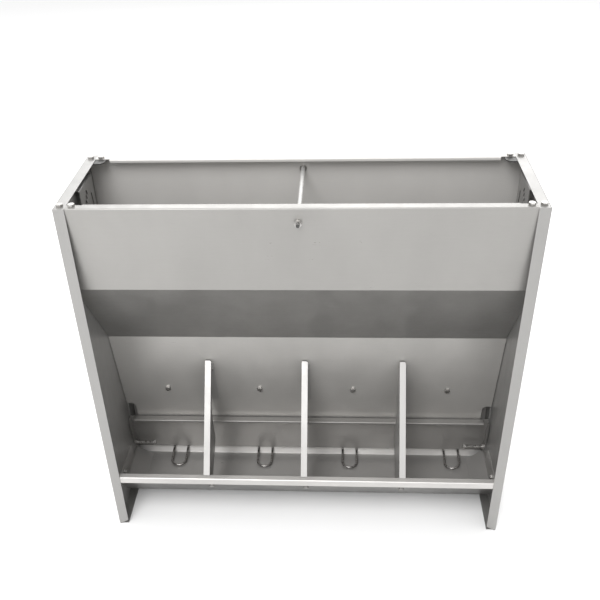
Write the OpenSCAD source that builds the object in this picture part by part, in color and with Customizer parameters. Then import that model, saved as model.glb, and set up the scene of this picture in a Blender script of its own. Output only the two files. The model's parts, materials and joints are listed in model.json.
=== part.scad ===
// Single-sided four-place trough feeder in folded stainless sheet.
// +X runs along the trough, the open front faces -Y, +Z is up.
// The origin is on the ground, at the centre of the footprint.

/* [Overall] */
// Length along the trough
feeder_w = 1000; // [960:1:1040]
// Depth from front to back
feeder_d = 290; // [288:1:294]
// Height from the ground to the rim
feeder_h = 920; // [912:1:930]
// Sheet thickness
sheet_t = 1.5; // [1.4:0.1:1.6]
// Width of the flanges folded around each side panel
flange_w = 25; // [24:1:26]

/* [Hopper] */
// Depth of the rim along the front of the mouth
front_rim = 25; // [22:1:28]
// Depth of the rim along the back of the mouth
back_rim = 30; // [26:1:32]
// Height of the fold under the leaning upper wall
wall_fold_z = 716; // [714:1:718]
// Distance of that fold behind the front
wall_fold_y = 26; // [25:1:27]
// Height of the fold between the slope and the lower panel
slope_fold_z = 484; // [483:1:486]
// Distance of the slope's lower fold behind the front
slope_fold_y = 184; // [183:1:185]
// Height of the lower panel's hidden bottom edge
panel_end_z = 105; // [100:1:110]
// Height of the notch in each lower corner of the panel
notch_top_z = 230; // [228:1:234]

/* [Trough] */
// Height of the front rail
rail_z = 168; // [167:1:171]
// Depth of the front rail
rail_d = 18; // [17:1:19]
// Height of the front rail's face
rail_h = 20; // [18:1:22]
// Height of the trough floor
floor_z = 18; // [17:1:18]
// Distance from the front to the foot of the sloping front wall
floor_front_y = 114; // [112:1:116]
// Distance from the front to the foot of the rear slope
floor_back_y = 266; // [265:1:267]

/* [Gate] */
// Height of the lip along the top of the gate
gate_lip_z = 180; // [178:1:183]
// Depth of that lip
gate_lip_d = 18; // [17:1:20]
// Height of the gate's bottom edge above the ground
gate_end_z = 49; // [49:1:51]
// Number of setting slots in each arm plate
slot_count = 6; // [4:1:7]

/* [Dividers and agitators] */
// Distance between neighbouring dividers
divider_pitch = 250; // [245:1:255]
// Width of a divider's front flange
divider_flange = 15.5; // [13:0.5:17]
// Distance between neighbouring agitators
agitator_pitch = 248; // [244:1:250]
// Wire diameter of the agitators
wire_d = 6; // [5:0.5:6]
// Swing of the fourth agitator at rest
agitator_4_swing = 8; // [0:1:8]

/* [Fasteners] */
// Thread diameter of the bolts
bolt_d = 8; // [8:1:8]
// Hexagon size across flats
bolt_af = 13; // [13:1:13]

/* [Hidden] */
$fn = 48;

STEEL = [0.74, 0.73, 0.71];
STEEL_DARK = [0.55, 0.55, 0.54];
STEEL_BRIGHT = [0.84, 0.84, 0.83];

half_w = feeder_w / 2;
web_x = half_w - sheet_t;              // inner face of a side panel's web
mouth_x = half_w - flange_w;           // inner edge of a side panel's flanges
fold_r = 2;                            // centre-line radius of a sheet fold
hole_d = bolt_d + 0.4;                 // clearance hole
head_h = 5.3;
nut_h = 6.5;
washer_od = 17;
washer_h = 1.6;
past_nut = 3;                          // thread showing past a nut
eps = 0.1;

// Lower panel: its front surface runs through the slope fold, leaning back as it goes down.
panel_lean = 10.3;
panel_dy = tan(panel_lean);
function panel_y(z) = slope_fold_y + (slope_fold_z - z) * panel_dy;
panel_ty = sheet_t / cos(panel_lean);  // sheet thickness measured along Y
function panel_back_y(z) = panel_y(z) + panel_ty;

// Gate: parallel to the lower panel and in front of it.
gate_gap = 2.5;
function gate_y(z) = panel_y(z) - gate_gap - panel_ty;

// Trough front wall, outer surface.
wall_top_y = rail_d;
wall_top_z = rail_z - rail_h - 2;
wall_angle = atan2(wall_top_z - floor_z, floor_front_y - wall_top_y);
function wall_y(z) = wall_top_y + (wall_top_z - z) / tan(wall_angle);

// Upper wall's outer surface: flush with the side flanges at the top, leaning back as it goes down.
wall_lean_dy = (wall_fold_y - sheet_t) / (feeder_h - wall_fold_z);
function front_wall_y(z) = sheet_t + (feeder_h - z) * wall_lean_dy;

back_y = feeder_d - sheet_t;           // inner face of the side panels' back flanges
back_sheet_y = back_y - sheet_t;       // inner face of the back panel

corner_bolt_in = [13, 37];             // distances of the corner bolts from the side
front_bolt_y = 15;
back_bolt_y = feeder_d - 20;
tie_z = feeder_h - 34;
tie_bar_d = 10;

end_rise_z = 50;                       // where the inclined corner plate meets the side
end_foot_x = half_w - 47;              // where it meets the floor
end_bolt_y = 112;
end_bolt_z = 83;
trough_back_top = 130;
trough_back_bolt_z = 100;
trough_back_bolt_x = [-375, -125, 125, 375];

arm_t = 2;
arm_x = web_x - 0.3;                   // outer face of an arm strap
arm_front_y = 238;
arm_back_y = 264;
arm_low_z = 62;
arm_bolt_y = 240;
arm_bolt_z = 77;
arm_bolt_l = 57;
rack_x = half_w - 10.5;                // outer face of an arm's slotted plate
rack_front_y = 150;
rack_back_y = 254;
rack_top_z = 892;
rack_low_z = 715;
guide_y = 236;
guide_z = 803;
guide_slot_w = 10;
guide_slot_l = 98;
guide_slot_up = 4;                     // the slot's centre above the guide bolt
set_slot_y = 197;
set_slot_top = 23;                     // from the plate's top edge down to the first slot's centre
set_slot_step = 6;                     // each slot is this far in front of the one above
set_slot_w = 7;
set_slot_l = 16;
set_slot_pitch = 9.4;
set_slot_lean = 40;

divider_x = [-divider_pitch, 0, divider_pitch];
divider_left_of = 9;                   // web to the divider's centre line
divider_tab = 21;
divider_bolt_z = 372;
divider_foot_z = 95;
divider_top_z = 402;

agitator_x = [for (i = [-1.5 : 1 : 1.5]) i * agitator_pitch];
agitator_swing = [0, 0, -1, agitator_4_swing];
agitator_z = 293;                      // height of the pivot on the panel's front surface
sleeve_l = 8;
sleeve_od = 14;
sleeve_gap = 0.5;
sleeve_mid = sheet_t + sleeve_gap + sleeve_l / 2;  // behind the panel's front surface

// ---- helpers ----

// Places children measured from the front face at the feeder's centred origin.
module from_front() {
    translate([0, -feeder_d / 2, 0]) children();
}

module mirrored(side) {
    if (side < 0) mirror([1, 0, 0]) children();
    else children();
}

function unit(v) = v / norm(v);
function left_of(v) = [-v[1], v[0]];

// A fold: the path point b, between a and c, as an arc of radius r.
function fold(a, b, c, r, steps = 4) =
    let (u = unit(a - b), v = unit(c - b),
         half = acos(max(-1, min(1, u * v))) / 2,
         m = unit(u + v), centre = b + m * r / sin(half),
         start = b + u * r / tan(half) - centre,
         turn = 180 - 2 * half,
         way = (u[0] * v[1] - u[1] * v[0]) > 0 ? -1 : 1)
    [for (i = [0 : steps]) let (t = way * turn * i / steps)
        centre + [start[0] * cos(t) - start[1] * sin(t), start[0] * sin(t) + start[1] * cos(t)]];

function folded(path, r) = [
    each [path[0]],
    for (i = [1 : len(path) - 2]) each fold(path[i - 1], path[i], path[i + 1], r),
    each [path[len(path) - 1]]
];

// Point i of the path moved sideways by d, square to the path there.
function beside(path, i, d) =
    let (n = len(path),
         u = i > 0 ? left_of(unit(path[i] - path[i - 1])) : left_of(unit(path[1] - path[0])),
         v = i < n - 1 ? left_of(unit(path[i + 1] - path[i])) : u)
    path[i] + (u + v) / (1 + u * v) * d;

// Outline of a sheet whose centre line follows the path, with rounded folds.
module sheet_outline(path, r = fold_r, t = sheet_t) {
    line = len(path) > 2 ? folded(path, r) : path;
    last = len(line) - 1;
    polygon(concat(
        [for (i = [0 : last]) beside(line, i, t / 2)],
        [for (i = [last : -1 : 0]) beside(line, i, -t / 2)]
    ));
}

// Extrudes a (y, z) outline along X, from x0 to x1.
module along_x(x0, x1) {
    translate([x0, 0, 0]) rotate([90, 0, 90]) linear_extrude(x1 - x0) children();
}

// Extrudes an (x, z) outline along Y, from y0 to y1.
module along_y(y0, y1) {
    translate([0, y1, 0]) rotate([90, 0, 0]) linear_extrude(y1 - y0) children();
}

// Slot outline of overall length l and width w, upright, centred.
module slot(l, w) {
    square([w, l - w], center = true);
    for (s = [-1, 1]) translate([0, s * (l - w) / 2]) circle(w / 2);
}

// Hexagon with chamfered corners, standing on z = 0.
module hexagon(h, chamfer = 0.9) {
    across = bolt_af / cos(30);
    intersection() {
        cylinder(d = across, h = h, $fn = 6);
        rotate_extrude()
            polygon([[0, 0], [across / 2, 0], [across / 2, h - chamfer / 2],
                     [across / 2 - chamfer, h], [0, h]]);
    }
}

// Bolt with its head on +Z above z = 0 and its shank down to -l.
module bolt(l) {
    hexagon(head_h);
    translate([0, 0, -l]) cylinder(d = bolt_d, h = l + eps);
}

// Nut standing on z = 0.
module nut() {
    difference() {
        hexagon(nut_h);
        translate([0, 0, -1]) cylinder(d = bolt_d + 0.1, h = nut_h + 2);
    }
}

module washer() {
    difference() {
        cylinder(d = washer_od, h = washer_h);
        translate([0, 0, -1]) cylinder(d = bolt_d + 0.4, h = washer_h + 2);
    }
}

// ---- side panels ----

side_r = 3;
seat_r = side_r - sheet_t + 0.1;         // room left for the fold's inside radius
bottom_mitre = 14;
side_hole_at = [[guide_y, guide_z], [end_bolt_y, end_bolt_z]];

// Tray outline with rounded outer folds: w along the first axis, h along the second.
module tray_corner(w, h, r) {
    translate([r, r]) circle(r);
    translate([r, h - r]) circle(r);
    translate([r, 0]) square([w - r, h]);
    translate([0, r]) square([w, h - 2 * r]);
}

// Solid block of the right side panel, with its folds rounded, shrunk by t.
module side_block(t, depth, r) {
    intersection() {
        translate([-t, t, 0]) linear_extrude(feeder_h)
            mirror([1, 0]) tray_corner(depth, feeder_d - 2 * t, r);
        translate([-t, feeder_d, t]) rotate([90, 0, 0]) linear_extrude(feeder_d)
            mirror([1, 0]) tray_corner(depth, feeder_h - 2 * t, r);
    }
}

module side_panel() {
    translate([half_w, 0, 0]) difference() {
        side_block(0, flange_w, side_r);
        side_block(sheet_t, flange_w, side_r - sheet_t);
        // the front flange is cut back above the bottom flange
        along_y(-1, sheet_t + 1)
            polygon([[-flange_w - 1, -1], [-flange_w - 1, bottom_mitre], [-flange_w / 4, sheet_t], [-flange_w / 4, -1]]);
        for (y = [front_bolt_y, back_bolt_y])
            translate([-corner_bolt_in[0], y, feeder_h - 2 * sheet_t])
                cylinder(d = hole_d, h = 3 * sheet_t);
        for (p = side_hole_at)
            translate([-2 * sheet_t, p[0], p[1]]) rotate([0, 90, 0]) cylinder(d = hole_d, h = 3 * sheet_t);
    }
}

module side_panel_left() {
    color(STEEL_BRIGHT) from_front() mirrored(-1) side_panel();
}

module side_panel_right() {
    color(STEEL_BRIGHT) from_front() side_panel();
}

// ---- hopper ----

rim_mid_z = feeder_h - sheet_t / 2;
wall_mid_y = 1.5 * sheet_t;
rim_lip_z = feeder_h - 7;
rim_lip_x = half_w - 58;               // the lip stops at the corner brackets
rim_lip_in = 5;                        // the plain rim ends this far inside the lip
rim_drop = 4;                          // the rim's corners stay this far below the top
notch_w = 25;
notch_r = 12;

// Centre line of the hopper front, from its rim down to the hidden bottom edge.
front_path = [
    [front_rim - rim_lip_in, rim_mid_z],
    [wall_mid_y, rim_mid_z],
    [wall_fold_y + sheet_t / 2, wall_fold_z],
    [slope_fold_y + panel_ty / 2, slope_fold_z],
    [panel_y(panel_end_z) + panel_ty / 2, panel_end_z]
];

// Cuts a rim's corners back, from y to y + depth, to stay under the side panels' top flanges.
module rim_corners(y, depth) {
    for (side = [-1, 1]) mirrored(side)
        translate([mouth_x, y, feeder_h - rim_drop]) cube([flange_w, depth, rim_drop + 1]);
}

// Folded edge of a rim: a lip at edge_y and a strip of the rim as far as in_y.
module rim_lip(edge_y, in_y) {
    along_x(-rim_lip_x, rim_lip_x) sheet_outline([
        [edge_y, rim_lip_z],
        [edge_y, rim_mid_z],
        [in_y, rim_mid_z]
    ]);
}

// Notch in the panel's lower corner, open at the side and at the bottom, for the gate's arm.
module arm_notch() {
    notch_x = web_x - notch_w;
    along_y(slope_fold_y, feeder_d) {
        translate([notch_x, panel_end_z - 1]) square([notch_w + 1, notch_top_z - notch_r - panel_end_z + 1]);
        translate([notch_x + notch_r, notch_top_z - 2 * notch_r]) square([notch_w, 2 * notch_r]);
        translate([notch_x + notch_r, notch_top_z - notch_r]) circle(notch_r);
    }
}

module hopper_front() {
    color(STEEL) from_front() difference() {
        union() {
            along_x(seat_r - web_x, web_x - seat_r) sheet_outline(front_path);
            rim_lip(front_rim - sheet_t / 2, front_rim - 2 * rim_lip_in);
        }
        rim_corners(-1, front_rim + 2);
        for (side = [-1, 1]) mirrored(side) arm_notch();
        for (x = agitator_x) on_panel(x, agitator_z) translate([0, 0, -5]) cylinder(d = hole_d, h = 10);
        for (x = divider_x) on_panel(x + divider_tab / 2 - divider_left_of, divider_bolt_z)
            translate([0, 0, -5]) cylinder(d = hole_d, h = 10);
        translate([0, -1, tie_z]) rotate([-90, 0, 0]) cylinder(d = hole_d, h = 15);
        for (side = [-1, 1]) translate([side * (half_w - corner_bolt_in[1]), front_bolt_y, feeder_h - 5])
            cylinder(d = hole_d, h = 10);
    }
}

// Frame on the lower panel's front surface at (x, height z), its z axis pointing out of the panel.
module on_panel(x, z) {
    translate([x, panel_y(z), z]) rotate([90 + panel_lean, 0, 0]) children();
}

module back_panel() {
    mid_y = back_y - sheet_t / 2;
    edge_y = feeder_d - back_rim;
    color(STEEL) from_front() difference() {
        union() {
            along_x(seat_r - web_x, web_x - seat_r) sheet_outline([
                [edge_y + rim_lip_in, rim_mid_z],
                [mid_y, rim_mid_z],
                [mid_y, floor_z]
            ]);
            rim_lip(edge_y + sheet_t / 2, edge_y + 2 * rim_lip_in);
        }
        rim_corners(edge_y - 1, back_rim);
        translate([0, back_sheet_y - 5, tie_z]) rotate([-90, 0, 0]) cylinder(d = hole_d, h = 10);
        for (x = trough_back_bolt_x) translate([x, back_sheet_y - 5, trough_back_bolt_z])
            rotate([-90, 0, 0]) cylinder(d = hole_d, h = 10);
        for (side = [-1, 1]) translate([side * (half_w - corner_bolt_in[1]), back_bolt_y, feeder_h - 5])
            cylinder(d = hole_d, h = 10);
    }
}

// ---- trough ----

trough_path = [
    [10, rail_z - rail_h + sheet_t / 2],
    [wall_mid_y, rail_z - rail_h + sheet_t / 2],
    [wall_mid_y, rail_z - sheet_t / 2],
    [rail_d, rail_z - sheet_t / 2],
    [wall_top_y, wall_top_z],
    [floor_front_y, floor_z],
    [floor_back_y, floor_z],
    [back_sheet_y - sheet_t / 2, floor_z + 34],
    [back_sheet_y - sheet_t / 2, trough_back_top]
];

module trough_pan() {
    color(STEEL_DARK) from_front() difference() {
        along_x(-web_x, web_x) sheet_outline(trough_path);
        // the rail's ends clear the folds inside the side panels
        for (side = [-1, 1]) mirrored(side)
            translate([web_x - seat_r, 0, 0]) cube([2 * seat_r, 2 * sheet_t + eps, feeder_h / 2]);
        for (x = divider_x) on_trough_wall(x + divider_tab / 2 - divider_left_of, divider_foot_z)
            translate([0, 0, -5]) cylinder(d = hole_d, h = 10);
        for (x = trough_back_bolt_x) translate([x, back_sheet_y - 5, trough_back_bolt_z])
            rotate([-90, 0, 0]) cylinder(d = hole_d, h = 10);
    }
}

// Frame on the trough's front wall centre line, its z axis pointing out to the front.
module on_trough_wall(x, z) {
    translate([x, wall_y(z), z]) rotate([180 - wall_angle, 0, 0]) children();
}

end_front_gap = 2.5;                   // clear of the front wall
end_back_y = 253;
end_flange_back_y = 205;               // the upright flange stops in front of the gate
end_flange_z = 106;

// Inclined corner plate with an upright flange against the side panel.
module trough_end() {
    difference() {
        intersection() {
            along_y(40, end_back_y) sheet_outline([
                [web_x - sheet_t / 2, end_flange_z],
                [web_x - sheet_t / 2, end_rise_z],
                [end_foot_x, floor_z + sheet_t]
            ]);
            along_x(0, half_w) polygon([
                [wall_y(floor_z) + end_front_gap, 0],
                [wall_y(floor_z) + end_front_gap, floor_z],
                [wall_y(end_flange_z) + end_front_gap, end_flange_z],
                [end_flange_back_y - 12, end_flange_z],
                [end_flange_back_y, end_flange_z - 12],
                [end_flange_back_y, end_rise_z + 6],
                [end_back_y, end_rise_z],
                [end_back_y, 0]
            ]);
        }
        translate([web_x - 5, end_bolt_y, end_bolt_z]) rotate([0, 90, 0]) cylinder(d = hole_d, h = 10);
    }
}

module trough_end_left() {
    color(STEEL_DARK) from_front() mirrored(-1) trough_end();
}

module trough_end_right() {
    color(STEEL_DARK) from_front() trough_end();
}

// ---- gate and arms ----

gate_cheek_x = arm_x - arm_t;          // outer face of a cheek, against its arm
gate_hem = 5;
lip_end_in = 16;                       // the lip stops short of the gate's ends
cheek_low_z = 56;

module feed_gate() {
    lip_front_y = gate_y(gate_lip_z) - gate_lip_d;
    mid_top = [gate_y(gate_lip_z) + panel_ty / 2, gate_lip_z - sheet_t / 2];
    color(STEEL) from_front() difference() {
        union() {
            along_x(-gate_cheek_x, gate_cheek_x) sheet_outline([
                mid_top,
                [gate_y(gate_end_z) + panel_ty / 2, gate_end_z]
            ]);
            along_x(-gate_cheek_x + lip_end_in, gate_cheek_x - lip_end_in) sheet_outline([
                [lip_front_y, gate_lip_z - gate_hem],
                [lip_front_y, gate_lip_z - sheet_t / 2],
                mid_top,
                mid_top + [12 * panel_dy, -12]
            ], 1.5);
            for (side = [-1, 1]) mirrored(side)
                along_x(gate_cheek_x - sheet_t, gate_cheek_x) polygon([
                    [gate_y(gate_lip_z) + sheet_t, gate_lip_z],
                    [lip_front_y + 1, gate_lip_z],
                    [lip_front_y + 1, gate_lip_z - 43],
                    [arm_bolt_y - 12, arm_bolt_z + 9],
                    [arm_bolt_y - 2, arm_bolt_z - 17],
                    [gate_y(cheek_low_z), cheek_low_z],
                    [gate_y(cheek_low_z) + sheet_t, cheek_low_z]
                ]);
        }
        for (side = [-1, 1]) mirrored(side)
            translate([gate_cheek_x - 5, arm_bolt_y, arm_bolt_z]) rotate([0, 90, 0]) cylinder(d = hole_d, h = 10);
    }
}

module gate_arm() {
    strap_mid = arm_x - arm_t / 2;
    rack_mid = rack_x - arm_t / 2;
    difference() {
        intersection() {
            along_y(rack_front_y - 5, arm_back_y + 5) sheet_outline([
                [strap_mid, arm_low_z - 5],
                [strap_mid, rack_low_z - 22],
                [rack_mid, rack_low_z],
                [rack_mid, rack_top_z - arm_t / 2],
                [strap_mid - 0.5, rack_top_z - arm_t / 2]
            ], 2.5, arm_t);
            along_x(rack_x - 10, half_w) polygon([
                [arm_back_y, arm_low_z + 8],
                [arm_back_y - 8, arm_low_z],
                [arm_front_y, arm_low_z],
                [arm_front_y - 9, arm_low_z + 8],
                [arm_front_y - 9, arm_bolt_z + 16],
                [arm_front_y, arm_bolt_z + 50],
                [arm_front_y, rack_low_z - 25],
                [rack_front_y, rack_low_z + 25],
                [rack_front_y, rack_top_z + 1],
                [rack_back_y, rack_top_z + 1],
                [rack_back_y, rack_low_z + 10],
                [arm_back_y, rack_low_z - 15]
            ]);
        }
        // long guide slot, along the gate's travel
        along_x(rack_x - 5, rack_x + 5)
            translate([guide_y, guide_z]) rotate(panel_lean) translate([0, guide_slot_up])
                slot(guide_slot_l, guide_slot_w);
        // slanted setting slots
        along_x(rack_x - 5, rack_x + 5) for (i = [0 : slot_count - 1])
            translate([set_slot_y - i * set_slot_step, rack_top_z - set_slot_top - i * set_slot_pitch])
                rotate(set_slot_lean) slot(set_slot_l, set_slot_w);
        translate([arm_x - 5, arm_bolt_y, arm_bolt_z]) rotate([0, 90, 0]) cylinder(d = hole_d, h = 10);
    }
}

module gate_arm_left() {
    color(STEEL_BRIGHT) from_front() mirrored(-1) gate_arm();
}

module gate_arm_right() {
    color(STEEL_BRIGHT) from_front() gate_arm();
}

// Runs children at (y, z) on both sides, their z axis pointing outwards along X from x.
module on_sides(x, y, z) {
    from_front() for (side = [-1, 1]) mirrored(side)
        translate([x, y, z]) rotate([0, 90, 0]) children();
}

module gate_arm_bolts() {
    color(STEEL_BRIGHT) on_sides(arm_x - arm_bolt_l, arm_bolt_y, arm_bolt_z) mirror([0, 0, 1]) bolt(arm_bolt_l);
}

module gate_arm_nuts() {
    color(STEEL_BRIGHT) on_sides(gate_cheek_x - sheet_t - nut_h, arm_bolt_y, arm_bolt_z) nut();
}

// ---- guide bolts through the arm plates' long slots ----

guide_in_x = rack_x - arm_t - 0.4;     // inner washer's outer face

module guide_studs() {
    l = half_w - guide_in_x + washer_h + nut_h + past_nut;
    color(STEEL_BRIGHT) on_sides(half_w, guide_y, guide_z) bolt(l);
}

module guide_washers() {
    color(STEEL_BRIGHT) {
        on_sides(guide_in_x - washer_h, guide_y, guide_z) washer();
        on_sides(web_x - nut_h - washer_h, guide_y, guide_z) washer();
    }
}

module guide_nuts() {
    color(STEEL_BRIGHT) {
        on_sides(guide_in_x - washer_h - nut_h, guide_y, guide_z) nut();
        on_sides(web_x - nut_h, guide_y, guide_z) nut();
    }
}

// ---- trough fasteners ----

module trough_end_bolts() {
    color(STEEL_BRIGHT) on_sides(web_x - sheet_t, end_bolt_y, end_bolt_z)
        mirror([0, 0, 1]) bolt(2 * sheet_t + nut_h + past_nut);
}

module trough_end_nuts() {
    color(STEEL_BRIGHT) on_sides(half_w, end_bolt_y, end_bolt_z) nut();
}

// Runs children at each trough back bolt, their z axis pointing out to the back from y.
module on_back(y) {
    from_front() for (x = trough_back_bolt_x)
        translate([x, y, trough_back_bolt_z]) rotate([-90, 0, 0]) children();
}

module trough_back_bolts() {
    color(STEEL_BRIGHT) on_back(back_sheet_y - sheet_t) mirror([0, 0, 1]) bolt(2 * sheet_t + nut_h + past_nut);
}

module trough_back_nuts() {
    color(STEEL_BRIGHT) on_back(back_y) nut();
}

// ---- dividers ----

divider_foot_low = 60;
divider_foot_high = 132;
divider_tab_low = 252;
divider_tab_high = 392;
wall_in = sheet_t / 2 / sin(wall_angle);  // half the front wall's thickness, along Y
divider_nose = [rail_d - 4, rail_z + 1.3];  // the front flange ends just above the rail
divider_top = [panel_y(divider_top_z) - 4, divider_top_z];
divider_run = unit(divider_top - divider_nose);

module divider_web() {
    polygon([
        divider_nose + 4 * divider_run,
        divider_top - 3 * divider_run,
        [panel_y(divider_top_z) - sheet_t, divider_top_z - 3],
        [panel_y(divider_tab_low + 10) - sheet_t, divider_tab_low + 10],
        [panel_y(divider_tab_low) - 8, divider_tab_low],
        [204, 240],
        [205, 190],
        [213, 132],
        [213, 122],
        [201, 108],
        [125, 64],
        [wall_y(46) + wall_in + sheet_t, 46],
        [wall_y(wall_top_z - 4) + wall_in + sheet_t, wall_top_z - 4],
        [rail_d + sheet_t, wall_top_z + fold_r],
        [rail_d + sheet_t, divider_nose[1] + 2]
    ]);
}

module divider() {
    translate([-divider_left_of, 0, 0]) difference() {
        union() {
            along_x(0, sheet_t) divider_web();
            // front flange, rounded at its top corner
            translate([0, divider_nose[0], divider_nose[1]])
                rotate([atan2(divider_run[1], divider_run[0]), 0, 0])
                    translate([0, 0, -sheet_t]) linear_extrude(sheet_t)
                        flange_outline(divider_flange, norm(divider_top - divider_nose));
            // rear tab on the lower panel
            on_panel(0, divider_tab_low) linear_extrude(sheet_t)
                tab_outline(divider_tab, (divider_tab_high - divider_tab_low) / cos(panel_lean));
            // foot tab on the trough's front wall
            on_trough_wall(0, divider_foot_low) translate([0, 0, -1.5 * sheet_t]) linear_extrude(sheet_t)
                tab_outline(divider_tab, (divider_foot_high - divider_foot_low) / sin(wall_angle));
        }
        on_panel(divider_tab / 2, divider_bolt_z) translate([0, 0, -1]) cylinder(d = hole_d, h = 5);
        on_trough_wall(divider_tab / 2, divider_foot_z) translate([0, 0, -5]) cylinder(d = hole_d, h = 5);
    }
}

// Strip w wide and l long, with its far right corner rounded.
module flange_outline(w, l) {
    r = 5;
    square([w, l - r]);
    square([w - r, l]);
    translate([w - r, l - r]) circle(r);
}

// Tab w wide and l long from its fold at x = 0, with both free corners rounded.
module tab_outline(w, l) {
    r = 7;
    square([w - r, l]);
    translate([0, r]) square([w, l - 2 * r]);
    for (y = [r, l - r]) translate([w - r, y]) circle(r);
}

module divider_at(i) {
    color(STEEL_BRIGHT) from_front() translate([divider_x[i], 0, 0]) divider();
}

module divider_left() {
    divider_at(0);
}

module divider_middle() {
    divider_at(1);
}

module divider_right() {
    divider_at(2);
}

// Runs children at each divider's top bolt, their z axis pointing out of the panel.
module on_divider_tops() {
    from_front() for (x = divider_x)
        on_panel(x - divider_left_of + divider_tab / 2, divider_bolt_z) children();
}

// Runs children at each divider's foot bolt, their z axis pointing out of the trough's front wall.
module on_divider_feet() {
    from_front() for (x = divider_x)
        on_trough_wall(x - divider_left_of + divider_tab / 2, divider_foot_z) children();
}

module divider_top_bolts() {
    color(STEEL_BRIGHT) on_divider_tops()
        translate([0, 0, sheet_t]) bolt(2 * sheet_t + nut_h + past_nut);
}

module divider_top_nuts() {
    color(STEEL_BRIGHT) on_divider_tops() translate([0, 0, -sheet_t - nut_h]) nut();
}

module divider_foot_bolts() {
    color(STEEL_BRIGHT) on_divider_feet()
        translate([0, 0, sheet_t / 2]) bolt(2 * sheet_t + nut_h + past_nut);
}

module divider_foot_nuts() {
    color(STEEL_BRIGHT) on_divider_feet() translate([0, 0, -1.5 * sheet_t - nut_h]) nut();
}

// ---- agitators ----

leg_x = 20;                            // half the distance between the two legs
shoulder_r = 8;
kink_r = 8;
leg_down = 262.5;                      // from the pivot to the forward run
run_out = 62;                          // how far the forward run reaches out of the panel's plane

// Quarter or half bend of the wire about the z axis, starting on +X.
module bend(r, angle) {
    rotate_extrude(angle = angle) translate([r, 0]) circle(d = wire_d);
}

// Agitator in the panel's frame: x along the panel, y up it, z out of it, the pivot on the z axis.
module agitator() {
    difference() {
        translate([0, 0, -sleeve_mid]) union() {
            translate([0, 0, -sleeve_l / 2]) cylinder(d = sleeve_od, h = sleeve_l);
            translate([-leg_x + shoulder_r, 0, 0]) rotate([0, 90, 0])
                cylinder(d = wire_d, h = 2 * (leg_x - shoulder_r));
            for (side = [-1, 1]) mirrored(side) {
                translate([leg_x - shoulder_r, -shoulder_r, 0]) bend(shoulder_r, 90);
                translate([leg_x, -shoulder_r, 0]) rotate([90, 0, 0])
                    cylinder(d = wire_d, h = leg_down - shoulder_r - kink_r);
                translate([leg_x, kink_r - leg_down, kink_r]) rotate([0, 90, 0]) rotate([0, 0, -90])
                    bend(kink_r, 90);
                translate([leg_x, -leg_down, kink_r])
                    cylinder(d = wire_d, h = run_out + sleeve_mid - leg_x - kink_r);
            }
            translate([0, -leg_down, run_out + sleeve_mid - leg_x]) rotate([90, 0, 0]) bend(leg_x, 180);
        }
        translate([0, 0, -20]) cylinder(d = bolt_d + 0.1, h = 25);
    }
}

module agitator_at(i) {
    color(STEEL_BRIGHT) from_front() on_panel(agitator_x[i], agitator_z)
        rotate([0, 0, agitator_swing[i]]) agitator();
}

module agitator_1() {
    agitator_at(0);
}

module agitator_2() {
    agitator_at(1);
}

module agitator_3() {
    agitator_at(2);
}

module agitator_4() {
    agitator_at(3);
}

// Runs children at each agitator's pivot, their z axis pointing out of the panel.
module on_pivots() {
    from_front() for (x = agitator_x) on_panel(x, agitator_z) children();
}

sleeve_end = sheet_t + 2 * sleeve_gap + sleeve_l;  // where the washer behind a sleeve starts

module agitator_bolts() {
    color(STEEL_BRIGHT) on_pivots() bolt(sleeve_end + washer_h + nut_h + past_nut);
}

module agitator_washers() {
    color(STEEL_BRIGHT) on_pivots() translate([0, 0, -sleeve_end - washer_h]) washer();
}

module agitator_nuts() {
    color(STEEL_BRIGHT) on_pivots() translate([0, 0, -sleeve_end - washer_h - nut_h]) nut();
}

// ---- tie rod ----

rod_front_y = front_wall_y(tie_z + washer_od / 2);  // where the washer meets the leaning front wall
rod_shoulder_y = front_wall_y(tie_z - tie_bar_d / 2) + 1.2 * sheet_t;
rod_back_y = back_sheet_y;             // inner face of the back panel
rod_end = washer_h + nut_h + past_nut;
rod_tip_y = feeder_d - back_y - rod_end;  // sticks out as far as the back end does

// Runs children on the tie rod's axis at y, their z axis pointing back.
module on_rod(y) {
    from_front() translate([0, y, tie_z]) rotate([-90, 0, 0]) children();
}

module tie_rod() {
    color(STEEL_BRIGHT) {
        on_rod(rod_tip_y) cylinder(d = bolt_d, h = feeder_d - 2 * rod_tip_y);
        on_rod(rod_shoulder_y) cylinder(d = tie_bar_d, h = rod_back_y - washer_h - rod_shoulder_y);
    }
}

module tie_rod_washers() {
    color(STEEL_BRIGHT) for (y = [rod_front_y - washer_h, rod_back_y - washer_h, back_y])
        on_rod(y) washer();
}

module tie_rod_nuts() {
    color(STEEL_BRIGHT) {
        on_rod(rod_front_y - washer_h) mirror([0, 0, 1]) nut();
        on_rod(back_y + washer_h) nut();
    }
}

// ---- corners ----

bracket_t = 2;
bracket_gap = 1.7;                     // clear of the folds around it
bracket_in = 49;                       // how far a bracket reaches from the side

module bracket_plate(y, wide, deep) {
    difference() {
        linear_extrude(bracket_t) polygon([
            [web_x - bracket_gap, 0],
            [half_w - bracket_in, 0],
            [half_w - bracket_in, wide - 8],
            [half_w - bracket_in + 8, wide],
            [mouth_x, wide],
            [web_x - bracket_gap, deep]
        ]);
        for (x = corner_bolt_in) translate([half_w - x, y, -1]) cylinder(d = hole_d, h = bracket_t + 2);
    }
}

bracket_z = feeder_h - sheet_t - bracket_t;

module bracket_front() {
    y0 = 2 * sheet_t + bracket_gap;
    from_front() translate([0, y0, bracket_z])
        bracket_plate(front_bolt_y - y0, front_rim - y0, 46);
}

module bracket_back() {
    y0 = back_sheet_y - bracket_gap;
    from_front() translate([0, y0, bracket_z]) mirror([0, 1, 0])
        bracket_plate(y0 - back_bolt_y, back_rim + 14, 56);
}

module corner_bracket_front_left() {
    color(STEEL_DARK) mirrored(-1) bracket_front();
}

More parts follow.
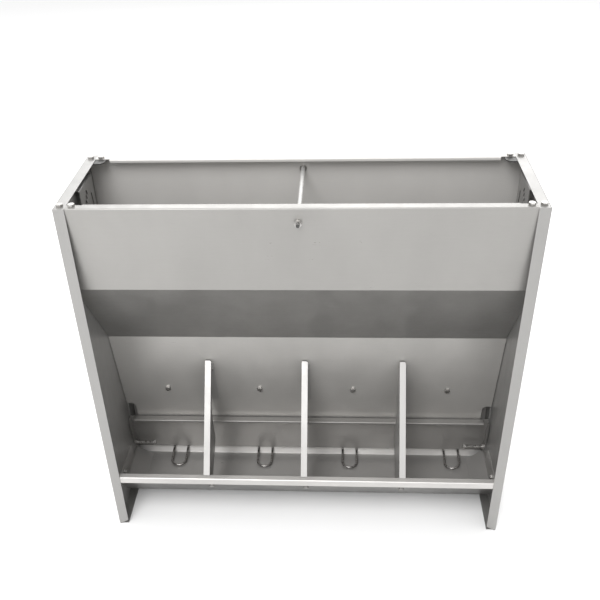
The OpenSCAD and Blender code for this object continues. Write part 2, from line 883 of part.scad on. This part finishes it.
module corner_bracket_front_right() {
    color(STEEL_DARK) bracket_front();
}

module corner_bracket_back_left() {
    color(STEEL_DARK) mirrored(-1) bracket_back();
}

module corner_bracket_back_right() {
    color(STEEL_DARK) bracket_back();
}

// Runs children on all eight corner bolts' axes at height z.
module on_corners(z) {
    from_front() for (side = [-1, 1], x = corner_bolt_in, y = [front_bolt_y, back_bolt_y])
        translate([side * (half_w - x), y, z]) children();
}

module corner_bolts() {
    color(STEEL_BRIGHT) on_corners(feeder_h) bolt(sheet_t + bracket_t + nut_h + past_nut);
}

module corner_nuts() {
    color(STEEL_BRIGHT) on_corners(bracket_z - nut_h) nut();
}

side_panel_left();
side_panel_right();
hopper_front();
back_panel();
trough_pan();
trough_end_left();
trough_end_right();
trough_end_bolts();
trough_end_nuts();
trough_back_bolts();
trough_back_nuts();
feed_gate();
gate_arm_left();
gate_arm_right();
gate_arm_bolts();
gate_arm_nuts();
guide_studs();
guide_washers();
guide_nuts();
divider_left();
divider_middle();
divider_right();
divider_top_bolts();
divider_top_nuts();
divider_foot_bolts();
divider_foot_nuts();
agitator_1();
agitator_2();
agitator_3();
agitator_4();
agitator_bolts();
agitator_washers();
agitator_nuts();
tie_rod();
tie_rod_nuts();
tie_rod_washers();
corner_bracket_front_left();
corner_bracket_front_right();
corner_bracket_back_left();
corner_bracket_back_right();
corner_bolts();
corner_nuts();
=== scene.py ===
"""Looks of the trough feeder: brushed stainless materials, edge rounding and bolt threads."""

import json
import math

import bpy
import bmesh
from mathutils import Matrix, Vector


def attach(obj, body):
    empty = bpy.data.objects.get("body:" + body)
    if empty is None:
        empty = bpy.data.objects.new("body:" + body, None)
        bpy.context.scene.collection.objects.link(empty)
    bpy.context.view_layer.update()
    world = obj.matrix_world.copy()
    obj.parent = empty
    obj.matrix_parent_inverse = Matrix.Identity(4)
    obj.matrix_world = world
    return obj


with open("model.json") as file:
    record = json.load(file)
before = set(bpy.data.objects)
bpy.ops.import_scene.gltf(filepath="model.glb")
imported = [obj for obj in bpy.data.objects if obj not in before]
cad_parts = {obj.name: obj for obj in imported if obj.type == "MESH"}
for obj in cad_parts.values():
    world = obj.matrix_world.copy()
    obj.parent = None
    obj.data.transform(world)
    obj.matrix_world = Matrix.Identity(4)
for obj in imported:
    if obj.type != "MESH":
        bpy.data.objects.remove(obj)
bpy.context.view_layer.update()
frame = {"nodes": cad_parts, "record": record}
nodes = frame["nodes"]

# ---- sizes, in metres: the CAD model's, measured back from its front face ----

MM = 0.001
DEPTH = 290 * MM
SIDE_X = 500 * MM                      # outer face of a side panel
SLOPE_FOLD_Z = 484 * MM
BACK_FACE_Y = 288.5 * MM
NUT_H = 6.5 * MM
RAIL_LOW_Z = 148 * MM
THREAD_R = 4 * MM
TIE_Z = 886 * MM
THREAD_PITCH = 1.25 * MM
THREAD_RISE = 0.3 * MM
PAST_NUT = 3 * MM
THREAD_GAP = 0.5 * MM                  # between a ridge and the nut or the stud's end
ROD_DARK_END_L = 6 * MM                    # darker length at the tie rod's front end
EDGE_R = 0.3 * MM                      # rounding of sharp edges
SHARP_ANGLE = math.radians(50)         # edges that turn more than this are sharp

# bare studs: where their axes run, and for the gate bolts and guide studs the x between which they are bare
TROUGH_BACK_BOLT_X = (-375 * MM, -125 * MM, 125 * MM, 375 * MM)
TROUGH_BACK_BOLT_Z = 100 * MM
END_BOLT_Y = 112 * MM
END_BOLT_Z = 83 * MM
GATE_BOLT_X = (442.5 * MM, 487.4 * MM)
GATE_BOLT_Y = 240 * MM
GATE_BOLT_Z = 77 * MM
GUIDE_STUD_X = (478.4 * MM, 476.4 * MM)
GUIDE_STUD_Y = 236 * MM
GUIDE_STUD_Z = 803 * MM


# ---- camera ----

CAMERA_AT = Vector((0.0791, -1.6114, 1.6128))
CAMERA_YAW = math.radians(-4.092)      # to the right of +Y
CAMERA_PITCH = math.radians(35.599)    # down
CAMERA_ROLL = math.radians(1.983)
CAMERA_LENS = 48.12
CAMERA_SHIFT = (0.0173, 0.0923)


def add_camera():
    """The camera at the viewing angle of the reference."""
    forward = Vector((
        math.sin(CAMERA_YAW) * math.cos(CAMERA_PITCH),
        math.cos(CAMERA_YAW) * math.cos(CAMERA_PITCH),
        -math.sin(CAMERA_PITCH),
    ))
    level_right = Vector((math.cos(CAMERA_YAW), -math.sin(CAMERA_YAW), 0))
    level_down = forward.cross(level_right)
    right = math.cos(CAMERA_ROLL) * level_right + math.sin(CAMERA_ROLL) * level_down
    down = -math.sin(CAMERA_ROLL) * level_right + math.cos(CAMERA_ROLL) * level_down
    turn = Matrix((right, -down, -forward)).transposed()
    data = bpy.data.cameras.new("camera")
    data.sensor_width = 36
    data.lens = CAMERA_LENS
    data.shift_x, data.shift_y = CAMERA_SHIFT
    data.clip_end = 50
    camera = bpy.data.objects.new("camera", data)
    camera.matrix_world = Matrix.Translation(CAMERA_AT) @ turn.to_4x4()
    bpy.context.scene.collection.objects.link(camera)
    bpy.context.scene.camera = camera


# ---- materials ----

class Graph:
    """Short names for building a material's nodes."""

    def __init__(self, name):
        self.material = bpy.data.materials.new(name)
        self.material.use_nodes = True
        self.tree = self.material.node_tree
        self.shader = self.tree.nodes["Principled BSDF"]

    def add(self, kind, **values):
        node = self.tree.nodes.new(kind)
        for key, value in values.items():
            setattr(node, key, value)
        return node

    def link(self, source, target):
        self.tree.links.new(source, target)

    def object_coords(self, scale, turn=(0, 0, 0)):
        """Object coordinates, stretched by scale."""
        coords = self.add("ShaderNodeTexCoord")
        mapping = self.add("ShaderNodeMapping")
        mapping.inputs["Scale"].default_value = scale
        mapping.inputs["Rotation"].default_value = turn
        self.link(coords.outputs["Object"], mapping.inputs["Vector"])
        return mapping.outputs["Vector"]

    def noise(self, vector, scale, detail=4, roughness=0.6):
        node = self.add("ShaderNodeTexNoise")
        node.inputs["Scale"].default_value = scale
        node.inputs["Detail"].default_value = detail
        node.inputs["Roughness"].default_value = roughness
        self.link(vector, node.inputs["Vector"])
        return node.outputs["Fac"]

    def span(self, value, low, high, to_low, to_high):
        """Maps value from low..high to to_low..to_high, clamped."""
        node = self.add("ShaderNodeMapRange")
        for name, number in (("From Min", low), ("From Max", high), ("To Min", to_low), ("To Max", to_high)):
            node.inputs[name].default_value = number
        self.link(value, node.inputs["Value"])
        return node.outputs["Result"]

    def math(self, operation, a, b):
        node = self.add("ShaderNodeMath", operation=operation)
        for socket, value in zip(node.inputs, (a, b)):
            if isinstance(value, (int, float)):
                socket.default_value = value
            else:
                self.link(value, socket)
        return node.outputs["Value"]

    def tint(self, fac, dark, light):
        """Colour between dark and light by fac."""
        ramp = self.add("ShaderNodeValToRGB")
        ramp.color_ramp.elements[0].color = (*dark, 1)
        ramp.color_ramp.elements[1].color = (*light, 1)
        self.link(fac, ramp.inputs["Fac"])
        return ramp.outputs["Color"]

    def bump(self, height, distance, strength=1.0, normal=None):
        node = self.add("ShaderNodeBump")
        node.inputs["Distance"].default_value = distance
        node.inputs["Strength"].default_value = strength
        self.link(height, node.inputs["Height"])
        if normal is not None:
            self.link(normal, node.inputs["Normal"])
        return node.outputs["Normal"]


def scaled(color, k):
    return tuple(min(1.0, c * k) for c in color)


def brushed(name, color, rough, grain, metal=0.55, cloud=0.07, scratch=0.5, tone=None):
    """Brushed sheet: long fine grain along the axis where grain is small, soft clouds, handling marks.

    tone(g) may give a value from -1, much darker, to 1, brighter; here it paints shade and highlights.
    """
    g = Graph(name)
    fine = g.noise(g.object_coords(grain), 1.0, detail=3, roughness=0.7)
    coarse = g.noise(g.object_coords(tuple(c * 0.22 for c in grain)), 1.0, detail=2)
    clouds = g.noise(g.object_coords((1, 1, 0.6)), 5.0, detail=5, roughness=0.55)
    smears = g.noise(g.object_coords((1, 1, 0.35), (0.3, 0.2, 0.5)), 17.0, detail=6, roughness=0.7)
    mottle = g.math("ADD", g.math("MULTIPLY", fine, 0.35), g.math("MULTIPLY", clouds, 0.65))
    shade = g.span(mottle, 0.3, 0.7, 0.4, 0.6)
    if tone:
        shade = g.math("ADD", shade, g.math("MULTIPLY", tone(g), 0.4))
    ramp = g.tint(shade, scaled(color, 0.25), scaled(color, 1.8))
    for at, k in ((0.4, 1 - cloud), (0.6, 1 + cloud)):
        stop = ramp.node.color_ramp.elements.new(at)
        stop.color = (*scaled(color, k), 1)
    g.link(ramp, g.shader.inputs["Base Color"])
    wear = g.span(smears, 0.35, 0.75, -0.05, 0.11)
    streak = g.span(coarse, 0.3, 0.7, -0.04, 0.04)
    g.link(g.math("ADD", g.math("ADD", wear, streak), rough), g.shader.inputs["Roughness"])
    grain_height = g.math("ADD", fine, g.math("MULTIPLY", coarse, 0.5))
    waves = g.bump(g.noise(g.object_coords((1, 1, 1)), 6.0, detail=1), 0.0012, 0.2)
    g.link(g.bump(grain_height, 0.00003, scratch, waves), g.shader.inputs["Normal"])
    g.shader.inputs["Metallic"].default_value = metal
    return g.material


def facing(g):
    """The x, y and z outputs of the surface normal."""
    geometry = g.add("ShaderNodeNewGeometry")
    split = g.add("ShaderNodeSeparateXYZ")
    g.link(geometry.outputs["Normal"], split.inputs["Vector"])
    return split.outputs


def place(g):
    """The x, y and z outputs of the point's place in the frame."""
    split = g.add("ShaderNodeSeparateXYZ")
    g.link(g.object_coords((1, 1, 1)), split.inputs["Vector"])
    return split.outputs


def trough_painted_light(g):
    """Painted light: painted shade where the trough faces down, painted highlights along the rail and on the
    rear slope.
    """
    normal = facing(g)
    # painted shade on faces turned down
    under_shade = g.span(normal["Z"], -0.5, -0.2, -1, 0)
    # painted highlight on the rail, above its lower edge
    rail_highlight = g.span(place(g)["Z"], RAIL_LOW_Z - 2 * MM, RAIL_LOW_Z, 0, 0.5)
    # painted highlight on the rear slope, which faces forward and up
    rear_slope_highlight = g.math("MULTIPLY", g.span(normal["Y"], -0.8, -0.6, 1, 0), g.span(normal["Z"], 0.2, 0.4, 0, 1))
    return g.math("ADD", g.math("ADD", under_shade, rail_highlight), rear_slope_highlight)


def hopper_painted_light(g):
    """Painted light: painted shade where the slope faces down, a painted highlight brightening the lower
    panel.
    """
    # painted shade on the downward-facing slope
    slope_shade = g.span(facing(g)["Z"], -0.5, -0.3, -0.55, 0)
    # painted highlight on the lower panel, below the slope's fold
    panel = g.span(place(g)["Z"], SLOPE_FOLD_Z - 2 * MM, SLOPE_FOLD_Z, 0.67, 0)
    return g.math("ADD", slope_shade, panel)


def rod_tone(g):
    """How bright the tie rod is along its length: darker at its front end, full brightness from the wall
    back.
    """
    front_y = -DEPTH / 2
    return g.span(place(g)["Y"], front_y, front_y + ROD_DARK_END_L, 0.12, 1)


def turned(name, color, rough, metal=0.95, tone=None):
    """Drawn or turned bright steel, with fine rings and small stains, dimmed towards 0 by tone(g)."""
    g = Graph(name)
    rings = g.noise(g.object_coords((900, 900, 900)), 1.0, detail=3)
    stains = g.noise(g.object_coords((1, 1, 1)), 160.0, detail=4, roughness=0.65)
    shade = g.span(stains, 0.35, 0.7, 0.78, 1)
    if tone:
        shade = g.math("MULTIPLY", shade, tone(g))
    g.link(g.tint(shade, (0, 0, 0), scaled(color, 1.05)), g.shader.inputs["Base Color"])
    g.link(g.math("ADD", g.span(stains, 0.3, 0.7, -0.06, 0.1), rough), g.shader.inputs["Roughness"])
    g.link(g.bump(rings, 0.00004, 0.4), g.shader.inputs["Normal"])
    g.shader.inputs["Metallic"].default_value = metal
    return g.material


GRAIN_UP = (2600, 2600, 30)            # brushing runs along Z
GRAIN_ALONG = (30, 2600, 2600)         # brushing runs along X

MATERIALS = {
    # the hopper's tone paints shade on the downward slope and a highlight on the lower panel
    "sheet_steel": brushed("sheet_steel", (0.30, 0.293, 0.281), 0.36, GRAIN_ALONG, tone=hopper_painted_light),
    "side_steel": brushed("side_steel", (0.315, 0.31, 0.302), 0.36, GRAIN_UP),
    # the trough's tone paints shade under it and highlights on its rail and rear slope
    "trough_steel": brushed("trough_steel", (0.42, 0.41, 0.398), 0.36, GRAIN_ALONG, tone=trough_painted_light),
    "bracket_steel": brushed("bracket_steel", (0.08, 0.079, 0.077), 0.45, GRAIN_ALONG),
    "wire_steel": turned("wire_steel", (0.30, 0.29, 0.28), 0.26),
    "fastener_steel": turned("fastener_steel", (0.45, 0.44, 0.425), 0.28),
}
DIVIDER_FINISH = brushed("divider_steel", (0.36, 0.354, 0.345), 0.38, GRAIN_UP)
# nodes whose colour differs from the rest of their slot; the back panel's paler, less metallic copy is
# painted light
OWN_FINISH = {
    # painted light: a paler copy of the sheet steel stands in for light on the back wall's inside
    "back_panel": brushed("sheet_steel_painted_lit", (0.55, 0.537, 0.518), 0.42, GRAIN_ALONG, metal=0.25),
    # a darker copy of the sheet steel, same roughness
    "feed_gate": brushed("sheet_steel_darker", (0.29, 0.282, 0.272), 0.36, GRAIN_ALONG),
    "divider_left": DIVIDER_FINISH,
    "divider_middle": DIVIDER_FINISH,
    "divider_right": DIVIDER_FINISH,
    "tie_rod": turned("rod_steel", (0.55, 0.543, 0.528), 0.5, metal=0.3, tone=rod_tone),
}


def dress_nodes():
    """Gives each CAD node its slot's material and rounds its edges."""
    for row in frame["record"]["subparts"]:
        piece = nodes[row["node"]]
        piece.data.materials.clear()
        piece.data.materials.append(OWN_FINISH.get(row["node"], MATERIALS[row["material_slot"]]))
        edge = piece.modifiers.new("edge", "BEVEL")
        edge.width = EDGE_R
        edge.segments = 2
        edge.limit_method = "ANGLE"
        edge.angle_limit = SHARP_ANGLE
        edge.harden_normals = True


# ---- threads ----

STEPS_PER_TURN = 24
# across the ridge: distance along the axis in pitches, height in thread rises
RIDGE_PROFILE = ((-0.42, -0.1), (0.0, 1.0), (0.42, -0.1))


def thread(name, body, slot, start, end):
    """A helical ridge on a stud's bare length, from start to end (front-based points, in metres)."""
    start, end = Vector(start), Vector(end)
    along = (end - start).normalized()
    side = along.orthogonal().normalized()
    across = along.cross(side)
    steps = max(STEPS_PER_TURN, int((end - start).length / THREAD_PITCH * STEPS_PER_TURN))
    shape = bmesh.new()
    rings = []
    for i in range(steps + 1):
        turn = 2 * math.pi * i / STEPS_PER_TURN
        out = side * math.cos(turn) + across * math.sin(turn)
        middle = start + along * min(i * THREAD_PITCH / STEPS_PER_TURN, (end - start).length)
        fade = min(1.0, i / STEPS_PER_TURN, (steps - i) / STEPS_PER_TURN)
        rings.append([
            shape.verts.new(middle + along * (a * THREAD_PITCH) + out * (THREAD_R + r * fade * THREAD_RISE))
            for a, r in RIDGE_PROFILE
        ])
    corners = len(RIDGE_PROFILE)
    for near, far in zip(rings, rings[1:]):
        for j in range(corners):
            k = (j + 1) % corners
            shape.faces.new((near[j], near[k], far[k], far[j]))
    shape.faces.new(reversed(rings[0]))
    shape.faces.new(rings[-1])
    bmesh.ops.recalc_face_normals(shape, faces=shape.faces)
    bmesh.ops.translate(shape, verts=shape.verts, vec=(0, -DEPTH / 2, 0))
    mesh = bpy.data.meshes.new(name)
    shape.to_mesh(mesh)
    shape.free()
    mesh.materials.append(MATERIALS[slot])
    ridge = bpy.data.objects.new(name, mesh)
    bpy.context.scene.collection.objects.link(ridge)
    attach(ridge, body)


def depth_span(name):
    """Where a node starts and ends in depth, measured back from the front face."""
    piece = nodes[name]
    depths = [(piece.matrix_world @ v.co).y + DEPTH / 2 for v in piece.data.vertices]
    return min(depths), max(depths)


def add_threads():
    """Threads wherever a stud shows past its nut, and along the gate's long bolts."""
    rod_front, rod_back = depth_span("tie_rod")
    nut_front, nut_back = depth_span("tie_rod_nuts")
    thread("thread_tie_front", "feeder", "fastener_steel",
           (0, nut_front - THREAD_GAP, TIE_Z), (0, rod_front + THREAD_GAP, TIE_Z))
    thread("thread_tie_back", "feeder", "fastener_steel",
           (0, nut_back + THREAD_GAP, TIE_Z), (0, rod_back - THREAD_GAP, TIE_Z))
    back_nut_y = BACK_FACE_Y + NUT_H
    for i, x in enumerate(TROUGH_BACK_BOLT_X):
        thread(f"thread_back_{i + 1}", "feeder", "fastener_steel",
               (x, back_nut_y + THREAD_GAP, TROUGH_BACK_BOLT_Z),
               (x, back_nut_y + PAST_NUT - THREAD_GAP, TROUGH_BACK_BOLT_Z))
    end_nut_x = SIDE_X + NUT_H
    end_bolt_x = (end_nut_x + THREAD_GAP, end_nut_x + PAST_NUT - THREAD_GAP)
    for name, side in (("left", -1), ("right", 1)):
        for kind, body, between_x, y, z in (
            ("end", "feeder", end_bolt_x, END_BOLT_Y, END_BOLT_Z),
            ("gate", "gate", GATE_BOLT_X, GATE_BOLT_Y, GATE_BOLT_Z),
            ("guide", "feeder", GUIDE_STUD_X, GUIDE_STUD_Y, GUIDE_STUD_Z),
        ):
            start_x, end_x = between_x
            thread(f"thread_{kind}_{name}", body, "fastener_steel",
                   (side * start_x, y, z), (side * end_x, y, z))


# ---- stage ----

FLOOR_COLOR = (0.90, 0.90, 0.90, 1)
SKY_STRENGTH = 1.0
# softboxes: name, place, point faced, diameter, brightness
LIGHTS = (
    ("back", (0, 3.8, 3.5), (0, 0, 0.9), 4.6, 2.8),
    ("front", (-0.5, -3.6, 2.9), (0, 0, 0.3), 2.6, 1.6),
    ("key", (-0.8, -2.8, 4.2), (0, 0, 0.7), 2.4, 9.6),
)


def add_stage():
    """Pale floor and a white sky."""
    mesh = bpy.data.meshes.new("floor")
    shape = bmesh.new()
    bmesh.ops.create_grid(shape, x_segments=1, y_segments=1, size=20)
    shape.to_mesh(mesh)
    shape.free()
    floor = bpy.data.objects.new("floor", mesh)
    bpy.context.scene.collection.objects.link(floor)
    g = Graph("floor")
    g.shader.inputs["Base Color"].default_value = FLOOR_COLOR
    g.shader.inputs["Roughness"].default_value = 0.9
    mesh.materials.append(g.material)
    world = bpy.data.worlds.new("sky")
    world.use_nodes = True
    world.node_tree.nodes["Background"].inputs["Color"].default_value = (1, 1, 1, 1)
    world.node_tree.nodes["Background"].inputs["Strength"].default_value = SKY_STRENGTH
    bpy.context.scene.world = world
    bpy.context.scene.view_settings.view_transform = "Standard"


def add_light(name, at, towards, size, radiance):
    """A round softbox of that diameter and brightness."""
    data = bpy.data.lights.new(name, "AREA")
    data.shape = "DISK"
    data.size = size
    data.energy = radiance * math.pi * math.pi * size * size / 4
    light = bpy.data.objects.new(name, data)
    light.location = at
    light.rotation_mode = "QUATERNION"
    light.rotation_quaternion = (Vector(towards) - Vector(at)).to_track_quat("-Z", "Y")
    bpy.context.scene.collection.objects.link(light)


add_camera()
add_stage()
for light in LIGHTS:
    add_light(*light)
add_threads()
dress_nodes()
